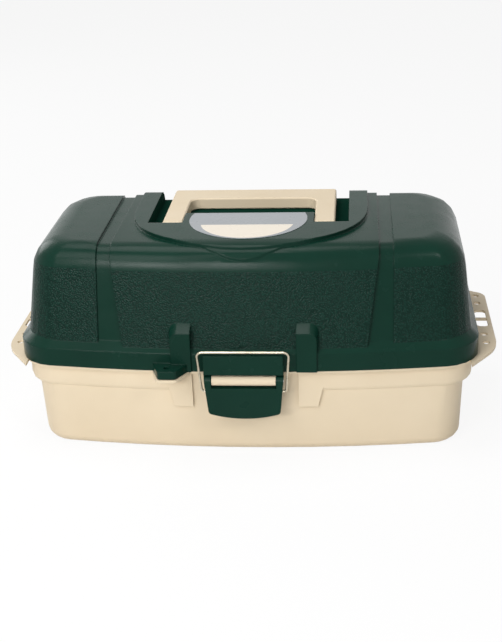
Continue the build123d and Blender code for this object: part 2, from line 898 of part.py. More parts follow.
# Handle
handle_half = pad_half + handle_side_gap + handle_arm_width
with BuildPart() as handle:
    with BuildSketch(Plane.XY.offset(handle_pin_z - handle_thickness / 2)):
        rear = handle_front_y + handle_length
        with BuildLine():
            Polyline(
                (-handle_half, handle_front_y),
                (-handle_half, rear),
                (handle_half, rear),
                (handle_half, handle_front_y),
                (pad_half + handle_side_gap, handle_front_y),
                (pad_half + handle_side_gap, rear - handle_grip_width),
                (-pad_half - handle_side_gap, rear - handle_grip_width),
                (-pad_half - handle_side_gap, handle_front_y),
                close=True,
            )
        make_face()
    extrude(amount=handle_thickness)
    upright = handle.edges().filter_by(Axis.Z)
    fillet(upright.group_by(Axis.Y)[-1], handle_outer_round)
    fillet(handle.edges().filter_by(Axis.Z).group_by(Axis.Y)[1], handle_inner_round)
    chamfer(handle.faces().sort_by(Axis.Z)[-1].edges(), handle_edge)
    chamfer(handle.faces().sort_by(Axis.Z)[0].edges(), handle_edge)
    with BuildSketch(Plane.YZ.offset(-handle_half)):
        with Locations((handle_pin_y, handle_pin_z)):
            Circle(handle_thickness / 2)
            Rectangle(handle_length, handle_thickness, align=(Align.MIN, Align.CENTER))
    extrude(amount=handle_half * 2, mode=Mode.INTERSECT)
    for side in (1, -1):
        hole_start = side * (pad_half + handle_side_gap)
        hole_end = side * (pad_half + handle_pin_length - handle_pin_in_pad + handle_side_gap)
        add(
            rod_x(
                hole_start, hole_end, handle_pin_y, handle_pin_z, handle_pin_radius + running_gap
            ),
            mode=Mode.SUBTRACT,
        )
handle.part.label = "handle"
export_step(handle.part, "parts/handle.step")

# Handle pins
with BuildPart() as handle_pins:
    for side in (1, -1):
        pin_start = side * (pad_half - handle_pin_in_pad)
        pin_end = pin_start + side * handle_pin_length
        add(rod_x(pin_start, pin_end, handle_pin_y, handle_pin_z, handle_pin_radius))
handle_pins.part.label = "handle_pins"
export_step(handle_pins.part, "parts/handle_pins.step")

# Label plate: a disc cut straight at the rear
with BuildPart() as label:
    with BuildSketch(Plane.XY.offset(platform_top)):
        label_rear_y = pad_rear_y - label_rear_margin
        with Locations((0, label_rear_y - label_length + label_radius)):
            Circle(label_radius)
        with Locations((0, label_rear_y)):
            Rectangle(
                label_radius * 2,
                label_radius * 2,
                align=(Align.CENTER, Align.MIN),
                mode=Mode.SUBTRACT,
            )
    extrude(amount=label_thickness)
label.part.label = "label"
export_step(label.part, "parts/label.step")

# Latch lever
with BuildPart() as latch_lever:
    foot_corner_z = lever_foot_z + lever_bulge
    with BuildSketch(Plane.XZ.offset(-lever_front_y)) as lever_face:
        with BuildLine():
            Polyline(
                (-lever_foot_half, foot_corner_z),
                (-lever_half, lever_top),
                (lever_half, lever_top),
                (lever_foot_half, foot_corner_z),
            )
            ThreePointArc(
                (lever_foot_half, foot_corner_z),
                (0, lever_foot_z),
                (-lever_foot_half, foot_corner_z),
            )
        make_face()
        fillet(lever_face.vertices().group_by(Axis.Y)[0], lever_foot_round)
    extrude(amount=-lever_head * 2)
    with BuildSketch(Plane.YZ.offset(-lever_half)) as lever_side:
        with Locations((lever_pin_y, lever_pin_z)):
            Circle(lever_head)
        with Locations((lever_front_y, lever_pin_z)):
            Rectangle(lever_depth, lever_height, align=(Align.MIN, Align.MAX))
    extrude(amount=lever_half * 2, mode=Mode.INTERSECT)
    # Window at the top and the hollow behind the plate
    add(
        box_between(
            (-lever_window_half, lever_front_y, lever_window_z),
            (lever_window_half, lever_pin_y + lever_head, lever_top),
        ),
        mode=Mode.SUBTRACT,
    )
    hollow_top = lever_window_z - lever_web
    share = (hollow_top - foot_corner_z) / (lever_top - foot_corner_z)
    hollow_half = lever_foot_half + (lever_half - lever_foot_half) * share - lever_cheek
    foot_half = lever_foot_half - lever_cheek
    hollow_foot = foot_corner_z + lever_web
    hollow_points = (
        (-foot_half, hollow_foot),
        (foot_half, hollow_foot),
        (hollow_half, hollow_top),
        (-hollow_half, hollow_top),
    )
    add(front_prism(hollow_points, lever_front_y + lever_plate, front_y), mode=Mode.SUBTRACT)
    add(
        rod_x(-lever_half, lever_half, lever_pin_y, lever_pin_z, lever_pin_radius),
        mode=Mode.SUBTRACT,
    )
    bail_hole = bail_wire_radius + running_gap
    add(
        rod_x(-lever_half, lever_half, bail_pivot_y, bail_pivot_z, bail_hole),
        mode=Mode.SUBTRACT,
    )
latch_lever.part.label = "latch_lever"
export_step(latch_lever.part, "parts/latch_lever.step")

# Latch lever pin
with BuildPart() as latch_lever_pin:
    add(rod_x(-lever_half, lever_half, lever_pin_y, lever_pin_z, lever_pin_radius))
latch_lever_pin.part.label = "latch_lever_pin"
export_step(latch_lever_pin.part, "parts/latch_lever_pin.step")

# Latch bail: one bent wire whose ends turn inward through the lever's cheeks
with BuildPart() as latch_bail:
    bail_run = bail_top_y - bail_pivot_y
    bail_rise = bail_top_z - bail_pivot_z
    bail_length = math.hypot(bail_run, bail_rise)
    bail_plane = Plane(
        origin=(0, bail_pivot_y, bail_pivot_z), x_dir=(1, 0, 0), z_dir=(0, -bail_rise, bail_run)
    )
    bail_bends = (
        (bail_half_bottom, bail_corner, -bail_corner, math.pi * 1.5, math.pi * 2),
        (bail_half_top, bail_length - bail_corner, -bail_corner, 0, math.pi / 2),
    )
    right = [(bail_half_bottom - bail_end_inward, 0)]
    for x, y, shift, first_angle, last_angle in bail_bends:
        for step in range(bail_bend_steps + 1):
            angle = first_angle + (last_angle - first_angle) * step / bail_bend_steps
            right.append((
                x + shift + bail_corner * math.cos(angle), y + bail_corner * math.sin(angle)
            ))
    left = [(-x, y) for x, y in reversed(right)]
    with BuildLine(bail_plane) as bail_path:
        Polyline(*right, *left)
    with BuildSketch(Plane(origin=bail_path.line @ 0, z_dir=bail_path.line % 0)):
        RegularPolygon(bail_wire_radius, rivet_sides)
    sweep(transition=Transition.RIGHT)
latch_bail.part.label = "latch_bail"
export_step(latch_bail.part, "parts/latch_bail.step")


def flat_bar(side, start_x, thickness, width, ends, running_holes, fixed_holes):
    """Flat bar between two (y, z) ends, drilled for rivets it turns on or that are fixed in it."""
    heading = math.atan2(ends[1][1] - ends[0][1], ends[1][0] - ends[0][0])
    points = []
    for end, turn in ((ends[1], -math.pi / 2), (ends[0], math.pi / 2)):
        first_angle = heading + turn
        points += corner_points(*end, width / 2, first_angle, first_angle + math.pi, end_facets)
    with BuildPart() as bar:
        with BuildSketch(Plane.YZ.offset(min(side * start_x, side * (start_x + thickness)))):
            with BuildLine():
                Polyline(*points, close=True)
            make_face()
            for hole_radius, places in (
                (rivet_radius + running_gap, running_holes),
                (rivet_radius, fixed_holes),
            ):
                for place in places:
                    with Locations(place):
                        RegularPolygon(
                            hole_radius, rivet_sides, major_radius=False, mode=Mode.SUBTRACT
                        )
        extrude(amount=thickness)
    return bar.part


def arm_bar(side, base_y, fixed_holes):
    """Cantilever arm from its pivot on the base to the top tray."""
    ends = (arm_point(base_y, 0), arm_point(base_y, tray_radii[2]))
    holes = [arm_point(base_y, radius) for radius in [0] + tray_radii]
    return flat_bar(side, arm_inner_x, arm_thickness, arm_width, ends, holes, fixed_holes)


def rivets(places, shank_start, shank_end, heads):
    """Rivets at (y, z) places on both ends of the box, each with heads from x to x."""
    with BuildPart() as group:
        for side in (1, -1):
            for y, z in places:
                add(faceted_rod(side * shank_start, side * shank_end, y, z, rivet_radius, False))
                for low, high in heads:
                    add(faceted_rod(side * low, side * high, y, z, rivet_head_radius, False))
    return group.part


# Cantilever arms
link_arm_place = arm_point(rear_pivot_y, link_radius)
link_pin_place = (link_pin_y, link_pin_z)
with BuildPart() as rear_arm_left:
    add(arm_bar(-1, rear_pivot_y, [link_arm_place]))
rear_arm_left.part.label = "rear_arm_left"
export_step(rear_arm_left.part, "parts/rear_arm_left.step")

with BuildPart() as rear_arm_right:
    add(arm_bar(1, rear_pivot_y, [link_arm_place]))
rear_arm_right.part.label = "rear_arm_right"
export_step(rear_arm_right.part, "parts/rear_arm_right.step")

with BuildPart() as front_arm_left:
    add(arm_bar(-1, front_pivot_y, []))
front_arm_left.part.label = "front_arm_left"
export_step(front_arm_left.part, "parts/front_arm_left.step")

with BuildPart() as front_arm_right:
    add(arm_bar(1, front_pivot_y, []))
front_arm_right.part.label = "front_arm_right"
export_step(front_arm_right.part, "parts/front_arm_right.step")

# Links from the rear arms to the lid
link_places = [link_arm_place, link_pin_place]
with BuildPart() as lid_link_left:
    add(flat_bar(-1, link_inner_x, link_thickness, link_width, link_places, link_places, []))
lid_link_left.part.label = "lid_link_left"
export_step(lid_link_left.part, "parts/lid_link_left.step")

with BuildPart() as lid_link_right:
    add(flat_bar(1, link_inner_x, link_thickness, link_width, link_places, link_places, []))
lid_link_right.part.label = "lid_link_right"
export_step(lid_link_right.part, "parts/lid_link_right.step")

# Rivets: fixed in the base's brackets, in the rear arms and in the lid's bosses
with BuildPart() as arm_pivot_rivets:
    places = [(front_pivot_y, pivot_z), (rear_pivot_y, pivot_z)]
    head_x = arm_inner_x - rivet_head_gap
    shank_end = arm_outer_x + arm_gap + wall * 2
    add(rivets(places, head_x, shank_end, [(head_x - rivet_head, head_x)]))
arm_pivot_rivets.part.label = "arm_pivot_rivets"
export_step(arm_pivot_rivets.part, "parts/arm_pivot_rivets.step")

with BuildPart() as link_arm_rivets:
    head_x = link_outer_x + rivet_head_gap
    add(rivets([link_arm_place], arm_inner_x, head_x, [(head_x, head_x + rivet_head)]))
link_arm_rivets.part.label = "link_arm_rivets"
export_step(link_arm_rivets.part, "parts/link_arm_rivets.step")

with BuildPart() as link_lid_rivets:
    head_x = link_inner_x - rivet_head_gap
    shank_end = link_outer_x + arm_gap + wall * 2
    add(rivets([link_pin_place], head_x, shank_end, [(head_x - rivet_head, head_x)]))
link_lid_rivets.part.label = "link_lid_rivets"
export_step(link_lid_rivets.part, "parts/link_lid_rivets.step")

# Trays, the lowest first: one lengthwise wall, with guides for the loose dividers
tray_middle_y = (tray_front_y + tray_rear_y) / 2
row_wall_y = tray_front_y + tray_wall + tray_front_row
inner_half = tray_half_length - tray_wall
divider_top = tray_height - divider_below_rim
rows = (
    (front_cells, tray_front_y + tray_wall, row_wall_y),
    (rear_cells, row_wall_y + tray_wall, tray_rear_y - tray_wall),
)


def divider_places(cells):
    """X of each divider in a row that is split into equal cells."""
    return [inner_half * (2 * place / cells - 1) for place in range(1, cells)]


def tray_plan(inset):
    """A tray's outline about its own middle, with its corners cut, moved in by inset."""
    with BuildSketch() as shape:
        Rectangle(
            (tray_half_length - inset) * 2, tray_rear_y - tray_front_y - inset * 2
        )
        chamfer(shape.vertices(), tray_corner - inset * (2 - math.sqrt(2)))
    return shape.sketch_local


def tray_body(tray_z, pivots):
    """One tray, its floor's underside at tray_z, drilled for its rivets."""
    with BuildPart() as body:
        with BuildSketch(Plane((0, tray_middle_y, tray_z))):
            add(tray_plan(0))
        extrude(amount=tray_height)
        with BuildSketch(Plane((0, tray_middle_y, tray_z + tray_floor))):
            add(tray_plan(tray_wall))
        extrude(amount=tray_height, mode=Mode.SUBTRACT)
        add(box_between(
            (-inner_half, row_wall_y, tray_z + tray_floor),
            (inner_half, row_wall_y + tray_wall, tray_z + tray_height),
        ))
        with BuildSketch(Plane.XY.offset(tray_z + tray_floor)):
            guide_x = divider_thickness / 2 + divider_gap + divider_guide / 2
            for cells, low_y, high_y in rows:
                for x in divider_places(cells):
                    with Locations(
                        (x - guide_x, low_y + divider_guide_reach / 2),
                        (x + guide_x, low_y + divider_guide_reach / 2),
                        (x - guide_x, high_y - divider_guide_reach / 2),
                        (x + guide_x, high_y - divider_guide_reach / 2),
                    ):
                        Rectangle(divider_guide, divider_guide_reach)
        extrude(amount=divider_top - tray_floor)
        for y, z in pivots:
            add(
                faceted_rod(-tray_half_length, tray_half_length, y, z, rivet_radius, True),
                mode=Mode.SUBTRACT,
            )
    return body.part


def tray_dividers(tray_z):
    """The loose dividers of one tray, standing on its floor between the guides."""
    with BuildPart() as plates:
        for cells, low_y, high_y in rows:
            for x in divider_places(cells):
                add(box_between(
                    (x - divider_thickness / 2, low_y + divider_gap, tray_z + tray_floor),
                    (x + divider_thickness / 2, high_y - divider_gap, tray_z + divider_top),
                ))
    return plates.part


tray_z = [top_tray_z - tray_height - tray_pitch * below for below in (2, 1, 0)]
tray_pivots = [
    [arm_point(front_pivot_y, radius), arm_point(rear_pivot_y, radius)] for radius in tray_radii
]
tray_head_x = arm_outer_x + rivet_head_gap
tray_heads = [(inner_half - rivet_head, inner_half), (tray_head_x, tray_head_x + rivet_head)]

with BuildPart() as tray_1:
    add(tray_body(tray_z[0], tray_pivots[0]))
tray_1.part.label = "tray_1"
export_step(tray_1.part, "parts/tray_1.step")

with BuildPart() as tray_1_dividers:
    add(tray_dividers(tray_z[0]))
tray_1_dividers.part.label = "tray_1_dividers"
export_step(tray_1_dividers.part, "parts/tray_1_dividers.step")

with BuildPart() as tray_1_rivets:
    add(rivets(tray_pivots[0], inner_half, tray_head_x, tray_heads))
tray_1_rivets.part.label = "tray_1_rivets"
export_step(tray_1_rivets.part, "parts/tray_1_rivets.step")

with BuildPart() as tray_2:
    add(tray_body(tray_z[1], tray_pivots[1]))
tray_2.part.label = "tray_2"
export_step(tray_2.part, "parts/tray_2.step")

with BuildPart() as tray_2_dividers:
    add(tray_dividers(tray_z[1]))
tray_2_dividers.part.label = "tray_2_dividers"
export_step(tray_2_dividers.part, "parts/tray_2_dividers.step")

with BuildPart() as tray_2_rivets:
    add(rivets(tray_pivots[1], inner_half, tray_head_x, tray_heads))
tray_2_rivets.part.label = "tray_2_rivets"
export_step(tray_2_rivets.part, "parts/tray_2_rivets.step")

with BuildPart() as tray_3:
    add(tray_body(tray_z[2], tray_pivots[2]))
tray_3.part.label = "tray_3"
export_step(tray_3.part, "parts/tray_3.step")

with BuildPart() as tray_3_dividers:
    add(tray_dividers(tray_z[2]))
tray_3_dividers.part.label = "tray_3_dividers"
export_step(tray_3_dividers.part, "parts/tray_3_dividers.step")

with BuildPart() as tray_3_rivets:
    add(rivets(tray_pivots[2], inner_half, tray_head_x, tray_heads))
tray_3_rivets.part.label = "tray_3_rivets"
export_step(tray_3_rivets.part, "parts/tray_3_rivets.step")
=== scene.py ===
# %% [markdown]
# # A moulded tackle box
#
# The box has a cream base, a dark green lid with a leather grain, a fold-down handle, a lever
# latch with a wire bail, and three trays on arms that rise with the lid. The engineering
# model comes first: it is loaded as a fixed frame, in metres, with the box's underside at
# z = 0 and its front towards -Y. Everything added here sits on that frame, so nothing has to
# be fitted by eye.

# %% Load the frame
import json
import math
import bpy
from mathutils import Matrix, Vector

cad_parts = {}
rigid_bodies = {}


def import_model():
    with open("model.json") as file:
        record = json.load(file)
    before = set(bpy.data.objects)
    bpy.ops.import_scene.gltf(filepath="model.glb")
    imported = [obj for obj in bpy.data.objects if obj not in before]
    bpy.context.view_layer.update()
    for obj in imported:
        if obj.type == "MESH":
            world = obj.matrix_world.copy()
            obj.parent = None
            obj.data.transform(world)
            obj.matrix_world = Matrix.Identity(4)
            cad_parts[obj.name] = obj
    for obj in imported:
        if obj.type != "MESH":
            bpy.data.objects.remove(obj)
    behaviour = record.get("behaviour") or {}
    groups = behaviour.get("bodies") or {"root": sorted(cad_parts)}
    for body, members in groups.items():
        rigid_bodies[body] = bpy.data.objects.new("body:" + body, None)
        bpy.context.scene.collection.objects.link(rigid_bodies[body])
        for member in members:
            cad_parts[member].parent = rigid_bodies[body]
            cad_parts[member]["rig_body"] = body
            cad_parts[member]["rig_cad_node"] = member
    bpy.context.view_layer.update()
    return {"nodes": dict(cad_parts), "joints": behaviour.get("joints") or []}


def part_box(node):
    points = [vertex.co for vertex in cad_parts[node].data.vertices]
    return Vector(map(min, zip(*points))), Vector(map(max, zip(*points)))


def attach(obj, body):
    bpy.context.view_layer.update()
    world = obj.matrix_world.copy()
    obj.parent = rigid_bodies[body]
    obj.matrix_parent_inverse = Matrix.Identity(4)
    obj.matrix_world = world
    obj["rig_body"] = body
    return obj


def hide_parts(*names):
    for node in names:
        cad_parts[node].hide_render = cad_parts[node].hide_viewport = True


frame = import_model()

MM = 0.001

# %% [markdown]
# ## Camera
#
# The camera stands where the photographer stood: a little left of the middle, about a metre in
# front, looking down by 23 degrees. A camera could be aimed with a Track To constraint, but
# the picture is also turned by about two degrees, so the axes are written out: forward,
# right and up make the camera's rotation, with the camera looking along its own -Z.

# %% Place the camera
YAW, PITCH, ROLL = (math.radians(a) for a in (-5.39, 23.38, -2.16))
CAMERA_PLACE = (0.1022, -1.1030, 0.5710)
FOCAL_PIXELS = 1219.3
PICTURE = (502, 642)
SENSOR = 36.0
FARTHEST = 20.0


def clear_selection():
    """Nothing selected and no object in edit mode, as before each new step by hand."""
    if bpy.context.object and bpy.context.object.mode != "OBJECT":
        bpy.ops.object.mode_set(mode="OBJECT")
    bpy.ops.object.select_all(action="DESELECT")


forward = Vector((
    math.sin(YAW) * math.cos(PITCH), math.cos(YAW) * math.cos(PITCH), -math.sin(PITCH),
))
level_right = Vector((math.cos(YAW), -math.sin(YAW), 0))
level_up = level_right.cross(forward)
right = level_right * math.cos(ROLL) + level_up * math.sin(ROLL)
up = level_up * math.cos(ROLL) - level_right * math.sin(ROLL)

clear_selection()
bpy.ops.object.camera_add()
camera = bpy.context.object
camera.name = "view_camera"
camera.data.sensor_width = SENSOR
camera.data.lens = FOCAL_PIXELS / max(PICTURE) * SENSOR
camera.data.clip_end = FARTHEST
axes_and_place = [[right[i], up[i], -forward[i], CAMERA_PLACE[i]] for i in range(3)]
camera.matrix_world = Matrix(axes_and_place + [[0, 0, 0, 1]])
bpy.context.scene.camera = camera
bpy.context.scene.view_settings.view_transform = "Standard"
print("lens", round(camera.data.lens, 2), "mm")

# %% [markdown]
# ## Floor
#
# A product picture stands on white paper. The floor could be lit until it turns white, but
# that would wash out the cream plastic. Instead it shows a large share of plain white to the
# camera, to mirrors and through glass, which Light Path tells apart from the rays that light
# the box. The rest of its shading stays, and with it the box's shadow.

# %% Lay the floor
FLOOR_SIZE, FLOOR_BACK = 8.0, 1.5
FLOOR_TONE = 0.9
WHITE_SHARE = 0.9


def seen_directly(tree):
    """1 for rays from the camera, from mirrors and through glass, otherwise 0."""
    path = tree.nodes.new("ShaderNodeLightPath")
    total = path.outputs["Is Camera Ray"]
    for name in ("Is Glossy Ray", "Is Transmission Ray"):
        either = tree.nodes.new("ShaderNodeMath")
        either.operation = "MAXIMUM"
        tree.links.new(total, either.inputs[0])
        tree.links.new(path.outputs[name], either.inputs[1])
        total = either.outputs[0]
    return total


clear_selection()
bpy.ops.mesh.primitive_grid_add(
    x_subdivisions=8, y_subdivisions=8, size=FLOOR_SIZE, location=(0, FLOOR_BACK, 0)
)
floor = bpy.context.object
floor.name = "studio_floor"
bpy.ops.object.transform_apply(location=True)

white = bpy.data.materials.new("studio_white")
white.use_nodes = True
tree = white.node_tree
tree.nodes.remove(tree.nodes["Principled BSDF"])
matte = tree.nodes.new("ShaderNodeBsdfDiffuse")
matte.inputs["Color"].default_value = (FLOOR_TONE, FLOOR_TONE, FLOOR_TONE, 1)
glow = tree.nodes.new("ShaderNodeEmission")
glow.inputs["Color"].default_value = (1, 1, 1, 1)
share = tree.nodes.new("ShaderNodeMath")
share.operation = "MULTIPLY"
share.inputs[1].default_value = WHITE_SHARE
tree.links.new(seen_directly(tree), share.inputs[0])
blend = tree.nodes.new("ShaderNodeMixShader")
tree.links.new(share.outputs[0], blend.inputs[0])
tree.links.new(matte.outputs[0], blend.inputs[1])
tree.links.new(glow.outputs[0], blend.inputs[2])
tree.links.new(blend.outputs[0], tree.nodes["Material Output"].inputs["Surface"])
floor.data.materials.append(white)
print("floor", floor.dimensions[:])

# %% [markdown]
# ## Light
#
# Such a picture is lit by large softboxes. One high at the front left makes the left end of
# the box lighter than the right, and one overhead lights the lid's top. One alone would do
# for the light, but a glossy moulding also shows what it mirrors. So a low, flat softbox at the
# front lays a soft strip along the rounded front edge of the lid, a small one at the right
# puts a glint on that corner, and one at the rear left keeps the back from going dark. The
# world gives a little even light and is plain white where it is seen.

# %% Hang the lamps
BOX_MIDDLE = (0, 0, 0.1)
LID_FRONT = (0, -0.1, 0.13)
LID_CORNER = (0.18, 0, 0.17)
EVEN_LIGHT = 0.16


def soft_lamp(name, place, target, width, height, watts):
    """A softbox that faces target."""
    clear_selection()
    bpy.ops.object.light_add(type="AREA", location=place)
    lamp = bpy.context.object
    lamp.name = name
    lamp.data.shape = "RECTANGLE"
    lamp.data.size = width
    lamp.data.size_y = height
    lamp.data.energy = watts
    facing = Vector(target) - Vector(place)
    lamp.rotation_euler = facing.to_track_quat("-Z", "Y").to_euler()


soft_lamp("key_lamp", (-0.75, -1.2, 1.4), BOX_MIDDLE, width=0.8, height=0.8, watts=10)
soft_lamp("strip_lamp", (-0.48, -1.62, 0.8), LID_FRONT, width=0.9, height=0.24, watts=13)
soft_lamp("top_lamp", (-0.3, 0.1, 1.7), BOX_MIDDLE, width=0.9, height=0.9, watts=12)
soft_lamp("corner_lamp", (0.8, -1.0, 1.0), LID_CORNER, width=0.2, height=0.2, watts=3)
soft_lamp("rear_lamp", (-1.5, 1.2, 0.8), BOX_MIDDLE, width=0.9, height=0.9, watts=8)

world = bpy.data.worlds.new("studio_world")
bpy.context.scene.world = world
world.use_nodes = True
tree = world.node_tree
backdrop = tree.nodes["Background"]
backdrop.inputs["Color"].default_value = (1, 1, 1, 1)
level = tree.nodes.new("ShaderNodeMapRange")
level.inputs["To Min"].default_value = EVEN_LIGHT
level.inputs["To Max"].default_value = 1.0
tree.links.new(seen_directly(tree), level.inputs["Value"])
tree.links.new(level.outputs["Result"], backdrop.inputs["Strength"])

# %% [markdown]
# ## Moulded plastic
#
# Both halves are injection moulded. Up close such plastic is not one flat colour: the tone
# drifts a little over the part, the gloss varies, and the tool leaves a very fine texture. A
# photograph of real plastic could be projected on the surface, but a pattern made of noise
# keeps its scale from every side. The tone comes from a large soft noise, the gloss from
# a second one, and the surface texture from a bump. A few helpers come first: one adds a
# node and sets it, and two turn a noise into colour and into gloss.

# %% Turn noise into colour and gloss
NOISE_LOW, NOISE_HIGH = 0.3, 0.7


def node(tree, kind, **values):
    """A new shader node with its sockets set by name."""
    made = tree.nodes.new(kind)
    for name, value in values.items():
        made.inputs[name.replace("_", " ")].default_value = value
    return made


def two_tones(tree, factor, dark, light, low=NOISE_LOW, high=NOISE_HIGH):
    """A colour ramp between two tones."""
    ramp = tree.nodes.new("ShaderNodeValToRGB")
    ramp.color_ramp.elements[0].position = low
    ramp.color_ramp.elements[1].position = high
    ramp.color_ramp.elements[0].color = (*dark, 1)
    ramp.color_ramp.elements[1].color = (*light, 1)
    tree.links.new(factor, ramp.inputs["Fac"])
    return ramp.outputs["Color"]


def uneven_gloss(tree, factor, gloss):
    """Roughness that follows factor between two values."""
    sheen = node(
        tree, "ShaderNodeMapRange",
        From_Min=NOISE_LOW, From_Max=NOISE_HIGH, To_Min=gloss[0], To_Max=gloss[1],
    )
    tree.links.new(factor, sheen.inputs["Value"])
    tree.links.new(sheen.outputs["Result"], tree.nodes["Principled BSDF"].inputs["Roughness"])


print("noise is read from", NOISE_LOW, "to", NOISE_HIGH)

# %% [markdown]
# A mould has no razor edges. They could all be cut round, but the lid has hundreds of them, so
# a Bevel node rounds their shading only, by half a millimetre on the latch and by one and a
# half on the lid. Gloss and soft edges are a function of their own, because the grain in the
# next step starts from them too. The specular level is low in the green plastics: a dark
# moulding in white surroundings would otherwise look grey.

# %% Plastic with a satin surface
PLASTIC_IOR = 1.4
TONE_CELLS, GLOSS_CELLS, TOOL_CELLS = 9.0, 55.0, 1400.0
TOOL_DEPTH = 0.3 * MM


def bare_plastic(name, gloss, edge, sparkle):
    """Plastic with uneven gloss and no texture yet, and the normal of its softened edges."""
    material = bpy.data.materials.new(name)
    material.use_nodes = True
    tree = material.node_tree
    shader = tree.nodes["Principled BSDF"]
    shader.inputs["IOR"].default_value = PLASTIC_IOR
    shader.inputs["Specular IOR Level"].default_value = sparkle
    place = tree.nodes.new("ShaderNodeTexCoord").outputs["Object"]
    polish = node(tree, "ShaderNodeTexNoise", Scale=GLOSS_CELLS, Detail=3.0)
    tree.links.new(place, polish.inputs["Vector"])
    uneven_gloss(tree, polish.outputs["Fac"], gloss)
    soft_edge = node(tree, "ShaderNodeBevel", Radius=edge)
    return material, place, soft_edge.outputs["Normal"]


def raise_texture(tree, height, normal, strength, depth):
    """Bump from height on the softened edges, as the shader's normal."""
    bump = node(tree, "ShaderNodeBump", Strength=strength, Distance=depth)
    tree.links.new(height, bump.inputs["Height"])
    tree.links.new(normal, bump.inputs["Normal"])
    tree.links.new(bump.outputs["Normal"], tree.nodes["Principled BSDF"].inputs["Normal"])


def satin_plastic(name, dark, light, gloss, texture=0.06, edge=0.7 * MM, sparkle=0.3):
    """Moulded plastic: drifting tone, uneven gloss, a fine tool texture and soft edges."""
    material, place, soft_normal = bare_plastic(name, gloss, edge, sparkle)
    tree = material.node_tree
    tone = node(tree, "ShaderNodeTexNoise", Scale=TONE_CELLS, Detail=4.0, Roughness=0.6)
    tree.links.new(place, tone.inputs["Vector"])
    tree.links.new(
        two_tones(tree, tone.outputs["Fac"], dark, light),
        tree.nodes["Principled BSDF"].inputs["Base Color"],
    )
    fine = node(tree, "ShaderNodeTexNoise", Scale=TOOL_CELLS, Detail=2.0)
    tree.links.new(place, fine.inputs["Vector"])
    raise_texture(tree, fine.outputs["Fac"], soft_normal, texture, TOOL_DEPTH)
    return material


GREEN = ((0.0024, 0.0240, 0.0150), (0.0034, 0.031, 0.0195))
CREAM = ((0.70, 0.585, 0.42), (0.75, 0.635, 0.465))
TRAY_CREAM = ((0.72, 0.60, 0.43), (0.77, 0.65, 0.475))
LID_EDGE = 1.6 * MM
green_satin = satin_plastic(
    "green_satin", *GREEN, gloss=(0.20, 0.29), edge=LID_EDGE, sparkle=0.15
)
green_matt = satin_plastic("green_matt", *GREEN, gloss=(0.8, 0.9), sparkle=0.02)
green_latch = satin_plastic(
    "green_latch", *GREEN, gloss=(0.26, 0.36), edge=0.5 * MM, sparkle=0.16
)
cream_satin = satin_plastic("cream_satin", *CREAM, gloss=(0.42, 0.55))
cream_tray = satin_plastic("cream_tray", *TRAY_CREAM, gloss=(0.35, 0.48))
print("plastics", [m.name for m in bpy.data.materials if m.name.startswith(("green", "cream"))])

# %% [markdown]
# ## Leather grain
#
# The walls of the lid carry a grain that is etched in the mould: small rounded cells, about
# one and a half millimetres apart, that break the light into fine specks. Modelled as geometry
# it would need millions of faces. A Voronoi texture has the same rounded cells, a little noise
# bends their borders, and the cells lift the bump. Their colour is painted light: a painted
# highlight on the crowns and painted shade in the borders.

# %% Plastic with a leather grain
GRAIN_CELL = 1.4 * MM
GRAIN_DEPTH = 0.4 * MM
BORDER_CELLS, BORDER_BEND = 260.0, 0.0012


def grained_plastic_painted_light(name, dark, light, cell, depth):
    """Plastic with leather cells over it, with painted shade in the borders and a painted
    highlight on the crowns.
    """
    material, place, soft_normal = bare_plastic(
        name, gloss=(0.26, 0.38), edge=LID_EDGE, sparkle=0.14
    )
    tree = material.node_tree
    wander = node(tree, "ShaderNodeTexNoise", Scale=BORDER_CELLS, Detail=2.0)
    tree.links.new(place, wander.inputs["Vector"])
    bent = tree.nodes.new("ShaderNodeMix")
    bent.data_type = "VECTOR"
    bent.inputs["Factor"].default_value = BORDER_BEND
    tree.links.new(place, bent.inputs["A"])
    tree.links.new(wander.outputs["Color"], bent.inputs["B"])
    cells = node(tree, "ShaderNodeTexVoronoi", Scale=1.0 / cell)
    cells.feature = "SMOOTH_F1"
    cells.inputs["Smoothness"].default_value = 0.6
    tree.links.new(bent.outputs["Result"], cells.inputs["Vector"])
    crown = node(tree, "ShaderNodeMapRange", From_Min=0.1, From_Max=0.7, To_Min=1.0, To_Max=0.0)
    tree.links.new(cells.outputs["Distance"], crown.inputs["Value"])
    raise_texture(tree, crown.outputs["Result"], soft_normal, depth, GRAIN_DEPTH)
    # Painted light: the colour runs from painted shade in the borders to a painted highlight on
    # the crowns.
    tree.links.new(
        two_tones(tree, crown.outputs["Result"], dark, light, low=0.2, high=0.95),
        tree.nodes["Principled BSDF"].inputs["Base Color"],
    )
    return material


# Painted shade for the grain's borders and a painted highlight for its crowns.
BORDER_SHADE_GREEN, CROWN_HIGHLIGHT_GREEN = (0.0016, 0.0160, 0.0105), (0.0060, 0.038, 0.026)
green_grain_painted_light = grained_plastic_painted_light("green_grain_painted_light", BORDER_SHADE_GREEN, CROWN_HIGHLIGHT_GREEN, cell=GRAIN_CELL, depth=0.7)
print("grain cells per 10 mm", round(10 * MM / GRAIN_CELL, 1))

# %% [markdown]
# ## Metal and label finishes
#
# The arms, links, pins and rivets are zinc-plated steel, which shows fine rolling lines; the
# bail is a yellow-passivated wire. Such lines could be scratched in with geometry, but they
# are far too fine. Stretched noise gives them: its coordinates are squeezed along the bar, so
# each speck becomes a streak. The label is gloss film, so it gets a smooth surface and a thin
# clear coat.

